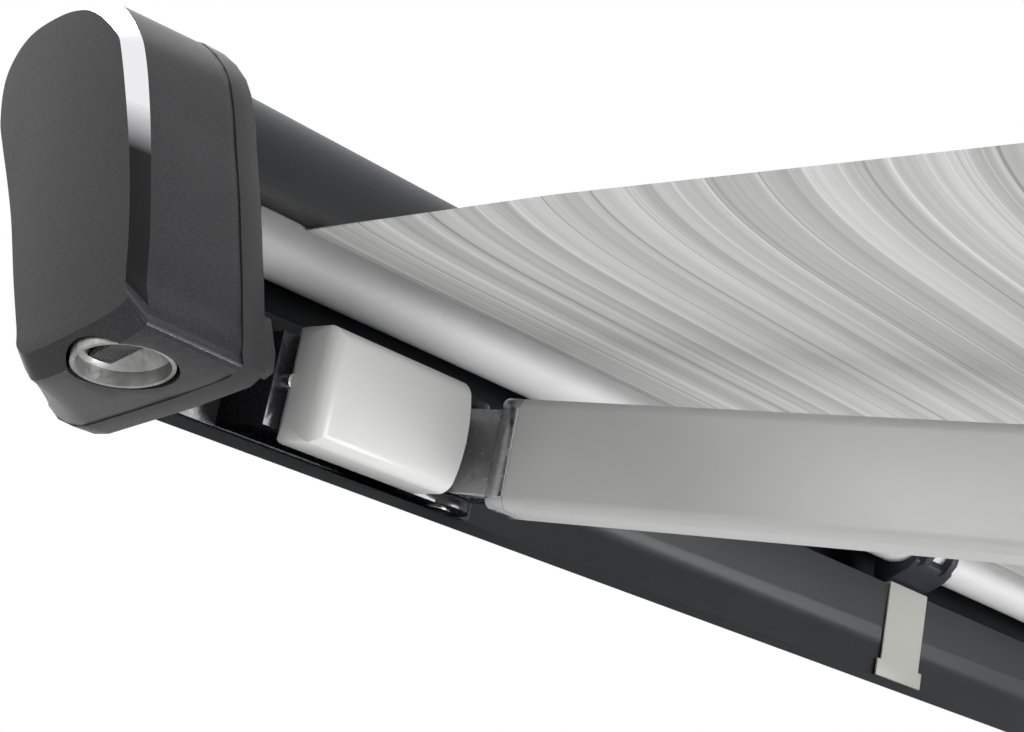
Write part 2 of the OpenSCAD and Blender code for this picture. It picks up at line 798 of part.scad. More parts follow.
module rail_section() {
    foot = channel_back - channel_wall;
    // front skin with its top lip, leg channel, floor, chamber wall and the slot for the fabric's edge
    difference() {
        polygon(concat(rail_front, [[102.8, 1.9], [103.4, 4.5], [104, 9], [103.9, channel_top],
            [channel_back + 0.8, channel_top], [channel_back, channel_top - 1.7], [channel_back, 1.5],
            [sill[0] + 4, 3.4], [sill[0] + 4, 5.2], [foot, 3.5], [foot, channel_top - 3.4],
            chamber_at(channel_top + channel_wall), chamber_at(62)],
            [for (w = [270:-12:90]) keder_at + (keder_r + 1.6) * [cos(w), sin(w)]],
            [chamber_at(70), [97, 83.5], [94.5, 86.5], [95.5, 87.5]]));
        polygon([chamber_at(channel_top + channel_wall) + [rail_skin, 0], [103.7, channel_top + channel_wall],
            [103, 40], [101.8, 55], [100.9, 65], chamber_at(65) + [rail_skin, 0]]);
        polygon([for (w = [0:12:348]) keder_at + (keder_r + 0.15) * [cos(w), sin(w)]]);
        // mouth that lets the fabric out both ways, closed and opened
        polygon([keder_at, keder_at + 12 * [cos(95), sin(95)], keder_at + [-12, 12],
            keder_at + 12 * [cos(184), sin(184)]]);
    }
}

module lead_rail_profile() {
    color(anthracite) opened() difference() {
        run_x(-rail_l / 2, rail_l) rail_section();
        both() translate([-joint_x + leg_in, -channel_back + 5, leg_at[1] - bolt_h])
            rotate([90, 0, 0]) cylinder(h = 10, r = leg_pin_r);
    }
}

module rail_cap_body() {
    opened() run_x(rail_in - joint_x - rail_cap_t, rail_cap_t)
        polygon(concat(rail_front, [[sill[0] + 4, 3.4], [sill[0] + 4, 5.2],
            [channel_back - channel_wall, channel_top + channel_wall], chamber_at(60),
            keder_at + [-4.2, 0], keder_at + [-1, 5], [95.4, 76], [95.4, 85.6], [94.5, 86.5],
            [95.5, 87.5]]));
}

module left_rail_cap() {
    color(black) rail_cap_body();
}

module right_rail_cap() {
    color(black) right_side() rail_cap_body();
}

module arm_bracket_body() {
    foot_y = -2 * pivot_off - arm_w / 2 - bracket_t;
    ear_from = front_h / 2 + 0.35;
    opened() at_shoulder() difference() {
        union() {
            translate([-20, foot_y, -ear_from - ear_t]) cube([40, 2, 2 * ear_from + ear_t + 19]);
            for (s = [0, 1]) mirror([0, 0, s]) translate([0, 0, ear_from]) linear_extrude(ear_t) {
                translate([0, -2 * pivot_off]) circle(9);
                translate([-9, foot_y]) square([18, arm_w / 2 + 2.4]);
            }
        }
        translate([0, -2 * pivot_off, -arm_h]) cylinder(h = 2 * arm_h, r = pin_r);
    }
}

module left_arm_bracket() {
    color(dark_steel) arm_bracket_body();
}

module right_arm_bracket() {
    color(dark_steel) right_side() arm_bracket_body();
}

module front_pins() {
    pin_l = front_h + 0.7 + 2 * ear_t + 1.2;
    color(zinc) both() opened() at_shoulder() translate([0, -2 * pivot_off, -pin_l / 2]) {
        cylinder(h = pin_l, r = pin_r);
        cylinder(h = 0.6, r = pin_r + 2);
        translate([0, 0, pin_l - 0.6]) cylinder(h = 0.6, r = pin_r + 2);
    }
}

module leg_pins() {
    color(zinc) both() opened() translate([-joint_x + leg_in, -channel_back + channel_wall, leg_at[1] - bolt_h])
        rotate([90, 0, 0]) cylinder(h = channel_wall + leg_w + 2 * channel_gap + 0.6, r = leg_pin_r);
}

module keder_rod() {
    color(cloth) opened() rod_x(cloth_in - joint_x, cloth_w, keder_at, keder_r);
}

// Support legs, drawn lying in the rail along X and let down to hang from it

module at_leg() {
    opened() translate([-joint_x + leg_in, -leg_at[0], leg_at[1] - bolt_h]) rotate([0, 90, 0]) children();
}

module leg_bar(x, l, w, h, r) {
    translate([x, 0, 0]) rotate([90, 0, 90]) linear_extrude(l) tube_plan(w, h, r);
}

inner_w = leg_w - 2 * leg_wall - 0.6;
inner_h = leg_h - 2 * leg_wall - 0.6;
lever_l = 24;
lever_w = 9;
lever_t = 2.2;
lever_in = 4;       // from the outer tube's end to the lever's hinge

module leg_tube_body() {
    difference() {
        union() {
            leg_bar(0, leg_l, leg_w, leg_h, 1.5);
            translate([0, leg_w / 2, 0]) rotate([90, 0, 0]) cylinder(h = leg_w, r = leg_h / 2);
        }
        leg_bar(18, leg_l, leg_w - 2 * leg_wall, leg_h - 2 * leg_wall, 0.8);
        translate([0, leg_w, 0]) rotate([90, 0, 0]) cylinder(h = 2 * leg_w, r = leg_pin_r + run);
    }
}

module leg_collar_body() {
    difference() {
        leg_bar(leg_l, collar_l, leg_w, leg_h, 2);
        leg_bar(leg_l - 1, collar_l + 2, inner_w + 0.6, inner_h + 0.6, 0.8);
        translate([leg_l + lever_in - lever_t / 2 - 0.3, -lever_w / 2 - 0.3, -leg_h / 2 - 1])
            cube([lever_l + lever_t / 2 + 0.6, lever_w + 0.6, 1 + leg_wall - 0.1]);
    }
}

module leg_lever_body() {
    lever_z = -leg_h / 2 - 0.9 + lever_t / 2;
    translate([leg_l + lever_in, lever_w / 2, lever_z]) rotate([90, 0, 0]) cylinder(h = lever_w, r = lever_t / 2);
    translate([leg_l + lever_in, -lever_w / 2, lever_z - lever_t / 2]) cube([lever_l, lever_w, lever_t]);
}

module leg_inner_body() {
    difference() {
        leg_bar(60, leg_l + collar_l - 59.1, inner_w, inner_h, 1);
        leg_bar(59, leg_l + collar_l - 60 + 4, inner_w - 2, inner_h - 2, 0.5);
    }
}

module leg_foot_body() {
    leg_bar(leg_l + collar_l + 1, foot_l, leg_w, leg_h, 2.5);
    leg_bar(leg_l + collar_l - 18, 19.5, inner_w - 2.2, inner_h - 2.2, 0.5);
}

module left_leg_tube() {
    color(silver) at_leg() leg_tube_body();
}

module left_leg_collar() {
    color(black) at_leg() leg_collar_body();
}

module left_leg_lever() {
    color(black) at_leg() leg_lever_body();
}

module left_leg_inner() {
    color(silver) at_leg() leg_inner_body();
}

module left_leg_foot() {
    color(black) at_leg() leg_foot_body();
}

module right_leg_tube() {
    right_side() left_leg_tube();
}

module right_leg_collar() {
    right_side() left_leg_collar();
}

module right_leg_lever() {
    right_side() left_leg_lever();
}

module right_leg_inner() {
    right_side() left_leg_inner();
}

module right_leg_foot() {
    right_side() left_leg_foot();
}

housing_profile();
lip_seal();
left_cap_base();
right_cap_base();
left_cap_cover();
right_cap_cover();
cap_screws();
left_shoulder_block();
right_shoulder_block();
shoulder_plates();
shoulder_bolts();
shoulder_pins();
wall_brackets();
roller_straps();
roller_cradles();
winding_gearbox();
roller_bushes();
canopy();
roller_tube();
left_roller_plug();
right_roller_plug();
fabric_roll();
crank_cup();
crank_shaft();
left_upper_arm_tube();
left_shoulder_knuckle();
left_elbow_fork();
left_elbow_pin();
left_forearm_tube();
left_elbow_knuckle();
left_front_knuckle();
right_upper_arm_tube();
right_shoulder_knuckle();
right_elbow_fork();
right_elbow_pin();
right_forearm_tube();
right_elbow_knuckle();
right_front_knuckle();
lead_rail_profile();
left_rail_cap();
right_rail_cap();
left_arm_bracket();
right_arm_bracket();
front_pins();
leg_pins();
keder_rod();
left_leg_tube();
left_leg_collar();
left_leg_lever();
left_leg_inner();
left_leg_foot();
right_leg_tube();
right_leg_collar();
right_leg_lever();
right_leg_inner();
right_leg_foot();
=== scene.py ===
import json
import math
import random
import bmesh
import bpy
from mathutils import Matrix, Vector

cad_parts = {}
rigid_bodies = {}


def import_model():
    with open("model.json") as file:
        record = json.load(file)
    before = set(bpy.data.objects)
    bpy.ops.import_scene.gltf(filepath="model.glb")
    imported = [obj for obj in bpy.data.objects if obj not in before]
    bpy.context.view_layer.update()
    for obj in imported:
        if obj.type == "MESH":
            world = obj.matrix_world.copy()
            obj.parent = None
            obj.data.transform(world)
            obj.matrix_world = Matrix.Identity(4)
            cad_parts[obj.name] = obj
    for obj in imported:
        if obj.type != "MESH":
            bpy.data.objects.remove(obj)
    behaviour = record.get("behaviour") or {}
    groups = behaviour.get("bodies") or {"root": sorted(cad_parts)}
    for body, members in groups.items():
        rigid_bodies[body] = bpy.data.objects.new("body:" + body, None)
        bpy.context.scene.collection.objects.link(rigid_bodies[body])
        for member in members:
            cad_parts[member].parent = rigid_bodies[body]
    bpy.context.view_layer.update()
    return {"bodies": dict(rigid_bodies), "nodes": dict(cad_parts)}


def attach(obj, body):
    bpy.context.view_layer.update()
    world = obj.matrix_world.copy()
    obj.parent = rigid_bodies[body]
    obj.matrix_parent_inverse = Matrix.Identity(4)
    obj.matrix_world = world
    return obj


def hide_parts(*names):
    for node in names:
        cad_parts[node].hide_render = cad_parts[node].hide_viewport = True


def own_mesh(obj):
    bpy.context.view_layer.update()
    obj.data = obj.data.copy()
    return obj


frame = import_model()
print("frame loaded")

# Sections are written as in the CAD part: millimetres out from the wall and up from the end cap's underside
case = {"half": 1250.0, "boltHeight": 68.0, "pitch": 16.5, "travel": 1970.587}
tilt = math.radians(case["pitch"])
outDir = (math.cos(tilt), -math.sin(tilt))


def place(x, out, up):
    return Vector((x, -out, up - case["boltHeight"])) / 1000


def bodyOf(node):
    parent = frame["nodes"][node].parent
    return next(name for name, empty in frame["bodies"].items() if empty == parent)


# Working helpers

def deselectAll():
    if bpy.context.object and bpy.context.object.mode != "OBJECT":
        bpy.ops.object.mode_set(mode="OBJECT")
    bpy.ops.object.select_all(action="DESELECT")


def pick(piece):
    deselectAll()
    piece.select_set(True)
    bpy.context.view_layer.objects.active = piece


def openMesh(piece):
    pick(piece)
    bpy.ops.object.mode_set(mode="EDIT")
    bpy.ops.mesh.select_all(action="DESELECT")
    return bmesh.from_edit_mesh(piece.data)


def closeMesh(piece):
    bmesh.update_edit_mesh(piece.data)
    bpy.ops.object.mode_set(mode="OBJECT")


def applyAll(piece):
    pick(piece)
    for modifier in list(piece.modifiers):
        bpy.ops.object.modifier_apply(modifier=modifier.name)


def smoothByAngle(piece, degrees):
    pick(piece)
    bpy.ops.object.shade_smooth_by_angle(angle=math.radians(degrees))


def softenEdges(piece, width, segments, degrees, slot=-1):
    bevel = piece.modifiers.new("edges", "BEVEL")
    bevel.width = width
    bevel.segments = segments
    bevel.limit_method = "ANGLE"
    bevel.angle_limit = math.radians(degrees)
    bevel.use_clamp_overlap = True
    bevel.material = slot
    applyAll(piece)


def settle(piece, name, finish, body, nodes):
    piece.name = name
    piece.data.name = name
    pick(piece)
    bpy.ops.object.transform_apply(location=True, rotation=True, scale=True)
    if finish:
        piece.data.materials.clear()
        piece.data.materials.append(finish)
    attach(piece, body)
    if nodes:
        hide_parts(*nodes)
    return piece


# Materials

def newMaterial(name):
    material = bpy.data.materials.new(name)
    material.use_nodes = True
    nodes, links = material.node_tree.nodes, material.node_tree.links
    return material, nodes, links, nodes["Principled BSDF"]


def mixColour(nodes, links, factor, first, second, blend="MIX"):
    mix = nodes.new("ShaderNodeMix")
    mix.data_type = "RGBA"
    mix.blend_type = blend
    for socket, value in ((mix.inputs["Factor"], factor), (mix.inputs[6], first), (mix.inputs[7], second)):
        if isinstance(value, bpy.types.NodeSocket):
            links.new(value, socket)
        elif socket == mix.inputs["Factor"]:
            socket.default_value = value
        else:
            socket.default_value = (*value, 1)
    return mix.outputs[2]


def noiseAt(nodes, links, coordinate, scale, detail=3.0, stretch=(1, 1, 1)):
    mapping = nodes.new("ShaderNodeMapping")
    mapping.inputs["Scale"].default_value = stretch
    links.new(coordinate, mapping.inputs["Vector"])
    noise = nodes.new("ShaderNodeTexNoise")
    noise.inputs["Scale"].default_value = scale
    noise.inputs["Detail"].default_value = detail
    links.new(mapping.outputs["Vector"], noise.inputs["Vector"])
    return noise.outputs["Fac"]


def rangeOf(nodes, links, value, low, high, fromLow=0.35, fromHigh=0.65):
    node = nodes.new("ShaderNodeMapRange")
    node.inputs["From Min"].default_value = fromLow
    node.inputs["From Max"].default_value = fromHigh
    node.inputs["To Min"].default_value = low
    node.inputs["To Max"].default_value = high
    links.new(value, node.inputs["Value"])
    return node.outputs["Result"]


def bumpOf(nodes, links, height, strength, distance):
    bump = nodes.new("ShaderNodeBump")
    bump.inputs["Strength"].default_value = strength
    bump.inputs["Distance"].default_value = distance
    links.new(height, bump.inputs["Height"])
    return bump.outputs["Normal"]


# A painted, moulded or metal finish: cloudy tone, grain and specks
def surfaceFinish(name, dark, light, rough, grain, bump, depth, metallic=0.0, coat=0.0, specks=None, cloud=9,
                  specular=0.5):
    material, nodes, links, shader = newMaterial(name)
    coordinate = nodes.new("ShaderNodeTexCoord").outputs["Object"]
    tone = rangeOf(nodes, links, noiseAt(nodes, links, coordinate, cloud, 4), 0, 1)
    colour = mixColour(nodes, links, tone, dark, light)
    grainNoise = noiseAt(nodes, links, coordinate, grain, 2)
    if specks:
        cells = nodes.new("ShaderNodeTexVoronoi")
        cells.inputs["Scale"].default_value = specks["scale"]
        links.new(coordinate, cells.inputs["Vector"])
        share = rangeOf(nodes, links, cells.outputs["Color"], 0, specks["share"], 0.55, 0.95)
        colour = mixColour(nodes, links, share, colour, specks["colour"])
    links.new(colour, shader.inputs["Base Color"])
    links.new(rangeOf(nodes, links, grainNoise, rough[0], rough[1]), shader.inputs["Roughness"])
    links.new(bumpOf(nodes, links, grainNoise, bump, depth), shader.inputs["Normal"])
    shader.inputs["Metallic"].default_value = metallic
    shader.inputs["Specular IOR Level"].default_value = specular
    shader.inputs["Coat Weight"].default_value = coat
    shader.inputs["Coat Roughness"].default_value = 0.12
    return material


flakes = {"scale": 2600, "share": 0.3, "colour": (0.11, 0.11, 0.12)}
faintFlakes = {"scale": 2600, "share": 0.15, "colour": (0.06, 0.06, 0.07)}
looks = {
    "cover": {"name": "flakeAnthracite", "dark": (0.018, 0.018, 0.020), "light": (0.026, 0.026, 0.028),
              "rough": (0.32, 0.40), "metallic": 0.1, "grain": 1500, "bump": 0.12, "depth": 0.00004,
              "specks": flakes, "specular": 0.3},
    "coverEdge": {"name": "polishedEdge", "dark": (0.22, 0.22, 0.23), "light": (0.28, 0.28, 0.29),
                  "rough": (0.14, 0.2), "metallic": 0.9, "grain": 500, "bump": 0.02, "depth": 0.00002},
    "housing": {"name": "anthraciteProfile", "dark": (0.014, 0.015, 0.018), "light": (0.020, 0.021, 0.024),
                "rough": (0.36, 0.44), "metallic": 0.1, "grain": 1200, "bump": 0.08, "depth": 0.00003,
                "specks": faintFlakes, "specular": 0.3},
    "blackPlastic": {"name": "mouldedBlack", "dark": (0.014, 0.014, 0.016), "light": (0.022, 0.022, 0.024),
                     "rough": (0.42, 0.56), "grain": 1800, "bump": 0.25, "depth": 0.00005},
    "cradlePlastic": {"name": "cradleBlack", "dark": (0.012, 0.014, 0.022), "light": (0.02, 0.023, 0.034),
                      "rough": (0.45, 0.6), "grain": 1200, "bump": 0.15, "depth": 0.00005},
    "rubber": {"name": "sealRubber", "dark": (0.012, 0.012, 0.012), "light": (0.02, 0.02, 0.02),
               "rough": (0.65, 0.8), "grain": 1500, "bump": 0.2, "depth": 0.00005},
    "zinc": {"name": "zincPlate", "dark": (0.46, 0.46, 0.45), "light": (0.62, 0.62, 0.6),
             "rough": (0.22, 0.36), "metallic": 1.0, "grain": 600, "bump": 0.06, "depth": 0.00003},
    "block": {"name": "satinGreyPaint", "dark": (0.64, 0.64, 0.635), "light": (0.68, 0.68, 0.675),
              "rough": (0.38, 0.46), "grain": 1300, "bump": 0.06, "depth": 0.00003, "coat": 0.15},
    "casting": {"name": "darkCasting", "dark": (0.02, 0.02, 0.023), "light": (0.045, 0.045, 0.05),
                "rough": (0.22, 0.36), "metallic": 0.5, "grain": 420, "bump": 0.25, "depth": 0.0001, "coat": 0.3},
    "chrome": {"name": "darkChrome", "dark": (0.40, 0.40, 0.41), "light": (0.62, 0.62, 0.63),
               "rough": (0.16, 0.3), "metallic": 1.0, "grain": 260, "bump": 0.3, "depth": 0.00012},
    "strap": {"name": "warmGreyStrip", "dark": (0.42, 0.42, 0.39), "light": (0.48, 0.48, 0.45),
              "rough": (0.42, 0.52), "metallic": 0.1, "grain": 900, "bump": 0.08, "depth": 0.00003},
    "acetal": {"name": "whiteAcetal", "dark": (0.5, 0.5, 0.48), "light": (0.58, 0.58, 0.56),
               "rough": (0.35, 0.45), "grain": 700, "bump": 0.05, "depth": 0.00003},
    "arm": {"name": "anodisedArm", "dark": (0.60, 0.60, 0.595), "light": (0.66, 0.66, 0.65),
            "rough": (0.38, 0.46), "metallic": 0.25, "grain": 900, "bump": 0.05, "depth": 0.00003},
    "tube": {"name": "silverTube", "dark": (0.5, 0.5, 0.5), "light": (0.58, 0.58, 0.58),
             "rough": (0.3, 0.4), "metallic": 0.9, "grain": 900, "bump": 0.05, "depth": 0.00003},
    "socket": {"name": "dullCasting", "dark": (0.28, 0.28, 0.27), "light": (0.44, 0.44, 0.43),
               "rough": (0.34, 0.5), "metallic": 0.9, "grain": 650, "bump": 0.5, "depth": 0.00012, "cloud": 120},
    "keder": {"name": "kederCord", "dark": (0.55, 0.55, 0.55), "light": (0.62, 0.62, 0.62),
              "rough": (0.5, 0.6), "grain": 900, "bump": 0.1, "depth": 0.00004},
}
finishes = {key: surfaceFinish(**look) for key, look in looks.items()}
print("hard finishes made")

stripes = {
    "seed": 11, "period": 0.217, "linePeriods": (0.083, 0.137), "bands": 30, "lines": 15,
    "bandWidths": (0.5, 0.8, 1.2, 2.0, 3.0), "lineWidths": (0.004, 0.006, 0.009, 0.014),
    "lineGaps": (0.012, 0.03, 0.05, 0.08, 0.11), "tones": (0.48, 0.53, 0.58, 0.63, 0.67, 0.72, 0.77),
    "lineTones": (1.24, 1.2, 1.16, 1.12, 1.08, 0.84, 0.72, 0.62), "warmth": 0.996,
    "lineStart": 0.02, "lineSpan": 0.97, "streak": 330.0, "streakStretch": (0.004, 1, 1), "streakTones": (0.9, 1.12),
}
cloth = {"weave": 1500.0, "weaveDepth": 0.0001, "cloud": 14, "cloudTone": 0.94, "rough": 0.85, "sheen": 0.15}


# Bands of cloth tone, and thin light or dark lines that multiply them
def stripeRamp(nodes, links, position, period, marks, smooth):
    scale = nodes.new("ShaderNodeMath")
    scale.operation = "DIVIDE"
    scale.inputs[1].default_value = period
    wrap = nodes.new("ShaderNodeMath")
    wrap.operation = "FRACT"
    ramp = nodes.new("ShaderNodeValToRGB")
    ramp.color_ramp.interpolation = "LINEAR" if smooth else "CONSTANT"
    elements = ramp.color_ramp.elements
    for number, (start, tone) in enumerate(marks):
        element = elements[number] if number < 2 else elements.new(0.9999)
        element.position = start
        element.color = (tone, tone, tone * stripes["warmth"], 1)
    links.new(position, scale.inputs[0])
    links.new(scale.outputs[0], wrap.inputs[0])
    links.new(wrap.outputs[0], ramp.inputs["Fac"])
    return ramp.outputs["Color"]


def bandMarks(chance):
    widths = [chance.choice(stripes["bandWidths"]) for number in range(stripes["bands"])]
    total, edge, marks = sum(widths), 0.0, []
    for width in widths:
        marks.append((edge / total, chance.choice(stripes["tones"])))
        edge += width
    return marks


def lineMarks(chance):
    marks, edge = [(0.0, 1.0)], stripes["lineStart"]
    for number in range(stripes["lines"]):
        width = chance.choice(stripes["lineWidths"])
        marks += [(edge, chance.choice(stripes["lineTones"])), (edge + width, 1.0)]
        edge += width + chance.choice(stripes["lineGaps"])
    last = marks[-1][0]
    return [(start * stripes["lineSpan"] / last, tone) for start, tone in marks]


def waveOf(nodes, links, value):
    turn = nodes.new("ShaderNodeMath")
    turn.operation = "MULTIPLY"
    turn.inputs[1].default_value = cloth["weave"] * 2 * math.pi
    links.new(value, turn.inputs[0])
    wave = nodes.new("ShaderNodeMath")
    wave.operation = "SINE"
    links.new(turn.outputs[0], wave.inputs[0])
    return wave.outputs[0]


# Striped where it is given no colour of its own
def clothFinish(name, base=None):
    material, nodes, links, shader = newMaterial(name)
    source = nodes.new("ShaderNodeTexCoord").outputs["UV"]
    split = nodes.new("ShaderNodeSeparateXYZ")
    links.new(source, split.inputs[0])
    if base:
        tone = rangeOf(nodes, links, noiseAt(nodes, links, source, cloth["cloud"], 4), 0, 1)
        colour = mixColour(nodes, links, tone, tuple(cloth["cloudTone"] * part for part in base), base)
    else:
        chance = random.Random(stripes["seed"])
        colour = stripeRamp(nodes, links, split.outputs["Y"], stripes["period"], bandMarks(chance), True)
        for period in stripes["linePeriods"]:
            lines = stripeRamp(nodes, links, split.outputs["Y"], period, lineMarks(chance), False)
            colour = mixColour(nodes, links, 1.0, colour, lines, "MULTIPLY")
        streak = noiseAt(nodes, links, source, stripes["streak"], 3, stripes["streakStretch"])
        tone = rangeOf(nodes, links, streak, 0.0, 1.0, 0.3, 0.7)
        shade = mixColour(nodes, links, tone, *((level,) * 3 for level in stripes["streakTones"]))
        colour = mixColour(nodes, links, 1.0, colour, shade, "MULTIPLY")
    links.new(colour, shader.inputs["Base Color"])
    weave = nodes.new("ShaderNodeMath")
    weave.operation = "MULTIPLY"
    for number, axis in enumerate(("X", "Y")):
        links.new(waveOf(nodes, links, split.outputs[axis]), weave.inputs[number])
    links.new(bumpOf(nodes, links, weave.outputs[0], 0.15, cloth["weaveDepth"]), shader.inputs["Normal"])
    shader.inputs["Roughness"].default_value = cloth["rough"]
    shader.inputs["Sheen Weight"].default_value = cloth["sheen"]
    shader.inputs["Sheen Roughness"].default_value = 0.5
    shader.inputs["Specular IOR Level"].default_value = 0.2
    return material


finishes["stripedCloth"] = clothFinish("stripedCloth")
finishes["plainCloth"] = clothFinish("plainCloth", (0.82, 0.82, 0.82))
finishes["hem"] = clothFinish("hemCloth", (0.84, 0.84, 0.84))
print("cloth finishes made")


# The band's colour is a painted reflection: painted shade, near black, low on the cover, turning into a painted
# highlight of bright metal higher up
band = {"from": 13, "blackBelow": -0.004, "paintedHighlightAbove": 0.016, "black": (0.003, 0.003, 0.004),
        "paintedHighlight": (0.84, 0.84, 0.86), "rough": 0.16, "specular": 0.18}


# The cover's edge band: a painted reflection, with a painted highlight of bright metal above and painted shade near
# black below
def paintedReflectionBandFinish():
    material, nodes, links, shader = newMaterial("bandPaintedReflection")
    height = nodes.new("ShaderNodeSeparateXYZ")
    links.new(nodes.new("ShaderNodeTexCoord").outputs["Object"], height.inputs[0])
    # Share of painted highlight against painted shade, by height in the cover's own coordinates
    paintedHighlight = rangeOf(nodes, links, height.outputs["Z"], 0, 1, band["blackBelow"], band["paintedHighlightAbove"])
    links.new(mixColour(nodes, links, paintedHighlight, band["black"], band["paintedHighlight"]), shader.inputs["Base Color"])
    links.new(paintedHighlight, shader.inputs["Metallic"])
    shader.inputs["Roughness"].default_value = band["rough"]
    shader.inputs["Specular IOR Level"].default_value = band["specular"]
    return material


finishes["coverBandPaintedReflection"] = paintedReflectionBandFinish()
print("band finish made")


# CAD nodes dressed with broken edges and smooth round faces

dressing = {"merge": 0.000005, "flatten": 0.6, "segments": 2, "bevelFrom": 32, "smoothTo": 30}


def dressNode(node, finish, edge):
    piece = bpy.data.objects.new(node + "Finished", frame["nodes"][node].data.copy())
    bpy.context.scene.collection.objects.link(piece)
    openMesh(piece)
    bpy.ops.mesh.select_all(action="SELECT")
    bpy.ops.mesh.remove_doubles(threshold=dressing["merge"])
    bpy.ops.mesh.dissolve_limited(angle_limit=math.radians(dressing["flatten"]))
    closeMesh(piece)
    if edge:
        softenEdges(piece, edge, dressing["segments"], dressing["bevelFrom"])
    smoothByAngle(piece, dressing["smoothTo"])
    return settle(piece, node + "Finished", finishes[finish], bodyOf(node), [node])


sides = ("left", "right")
blockEnd = {"from": 1.165, "share": 0.38}   # the end towards the cap is drawn in, as in the photo
dressed = {
    "housing_profile": ("housing", "anthracite_paint", 0.0004),
    "lead_rail_profile": ("housing", "anthracite_paint", 0.0003),
    "lip_seal": ("rubber", "black_rubber", 0),
    "shoulder_plates": ("casting", "dark_casting", 0.0008),
    "shoulder_bolts": ("zinc", "zinc_steel", 0.0003),
    "shoulder_pins": ("zinc", "zinc_steel", 0.0002),
    "cap_screws": ("zinc", "zinc_steel", 0.0003),
    "wall_brackets": ("casting", "dark_casting", 0.0004),
    "roller_bushes": ("acetal", "bronze_bush", 0.0004),
    "winding_gearbox": ("casting", "dark_casting", 0.0006),
    "roller_tube": ("tube", "silver_tube", 0),
    "crank_shaft": ("casting", "dark_casting", 0.0004),
    "crank_cup": ("socket", "socket_metal", 0.0003),
    "front_pins": ("zinc", "zinc_steel", 0.0002),
    "leg_pins": ("zinc", "zinc_steel", 0.0002),
    "keder_rod": ("keder", "striped_fabric", 0),
}
for side in sides:
    dressed.update({
        side + "_cap_base": ("blackPlastic", "black_plastic", 0.0006),
        side + "_shoulder_block": ("block", "silver_casting", 0.0016),
        side + "_roller_plug": ("blackPlastic", "black_plastic", 0.0004),
        side + "_upper_arm_tube": ("arm", "silver_tube", 0.0003),
        side + "_forearm_tube": ("arm", "silver_tube", 0.0003),
        side + "_shoulder_knuckle": ("chrome", "dark_casting", 0.0007),
        side + "_elbow_fork": ("casting", "dark_casting", 0.0006),
        side + "_elbow_knuckle": ("casting", "dark_casting", 0.0006),
        side + "_front_knuckle": ("casting", "dark_casting", 0.0006),
        side + "_elbow_pin": ("zinc", "zinc_steel", 0.0002),
        side + "_rail_cap": ("blackPlastic", "black_plastic", 0.0005),
        side + "_arm_bracket": ("casting", "dark_casting", 0.0005),
        side + "_leg_tube": ("tube", "silver_tube", 0.0002),
        side + "_leg_inner": ("tube", "silver_tube", 0.0002),
        side + "_leg_collar": ("blackPlastic", "black_plastic", 0.0003),
        side + "_leg_lever": ("blackPlastic", "black_plastic", 0.0003),
        side + "_leg_foot": ("rubber", "black_plastic", 0.0006),
    })
for node, (finish, slot, edge) in dressed.items():
    piece = dressNode(node, finish, edge)
    if node.endswith("_shoulder_block"):
        for vertex in piece.data.vertices:
            past = abs(vertex.co.x) - blockEnd["from"]
            if past > 0:
                vertex.co.x -= math.copysign(blockEnd["share"] * past, vertex.co.x)
print("CAD nodes dressed:", len(dressed))


# End cap covers

# Rings of (out, up) at the joint with the base, at the shoulder and round the end face
cover = {
    "length": 45.0, "bevel": 8.0, "wall": 0.0025, "edge": 0.0009, "steps": 6, "inset": 0.5, "gap": 0.05,
    "shares": (0.12, 0.3, 0.5, 0.7, 0.85, 1.0), "bevelFrom": 14, "smoothTo": 35,
    "joint": ((110, 7), (109.5, 18), (108.5, 32), (107, 46), (105, 65), (102, 85), (99, 105), (94, 121),
              (81, 138), (67, 146), (53, 149), (37, 148), (21, 141), (9, 130), (3, 112), (2, 99), (2, 81),
              (2, 62), (2, 42), (6, 22), (22, 9), (44, 5), (104, 0)),
    "shoulder": ((109.8, 8), (108.3, 19), (108.3, 33), (107.3, 47), (105.8, 63), (103.3, 82), (99.3, 103),
                 (94.3, 117), (82.3, 134), (68.3, 142), (54.3, 145.5), (39.3, 145.5), (28.3, 140),
                 (22.3, 129), (22.3, 111), (25.3, 98), (30.8, 80), (35.3, 63), (39.8, 40), (44.3, 18),
                 (48.3, 8), (59.3, 2), (105.3, 1.5)),
    "face": ((108.4, 14.4), (108.4, 20.4), (108.4, 26.4), (107.7, 40.4), (105.7, 58.4), (102.7, 76.4),
             (96.7, 103.4), (92.7, 113.4), (80.4, 127.4), (68.4, 134.4), (55.4, 137.4), (42.4, 137.4),
             (33.4, 132.4), (28.4, 123.4), (28.4, 108.4), (31.4, 97.4), (37.4, 79.4), (42.4, 62.4),
             (47.4, 39.4), (52.4, 19.4), (54.4, 11.4), (64.4, 7.4), (106.4, 7.4)),
}
crankHole = {"out": 83.7, "along": -25.5, "radius": 17.6, "up": 2, "depth": 0.014, "corners": 72}


def atCrank(up):
    return place(crankHole["along"] - case["half"], crankHole["out"], up)


def splineRing(points, steps):
    count = len(points)
    ring = []
    for number in range(count):
        a, b, c, d = (points[(number + shift) % count] for shift in (-1, 0, 1, 2))
        for step in range(steps):
            t = step / steps
            ring.append(tuple(0.5 * (2 * b[k] + (c[k] - a[k]) * t
                                     + (2 * a[k] - 5 * b[k] + 4 * c[k] - d[k]) * t * t
                                     + (3 * b[k] - a[k] - 3 * c[k] + d[k]) * t ** 3) for k in (0, 1)))
    return ring


def insetRing(ring, depth):
    moved = []
    for number, point in enumerate(ring):
        after, before = ring[(number + 1) % len(ring)], ring[number - 1]
        along = Vector((after[0] - before[0], after[1] - before[1])).normalized()
        moved.append((point[0] - depth * along.y, point[1] + depth * along.x))
    return moved


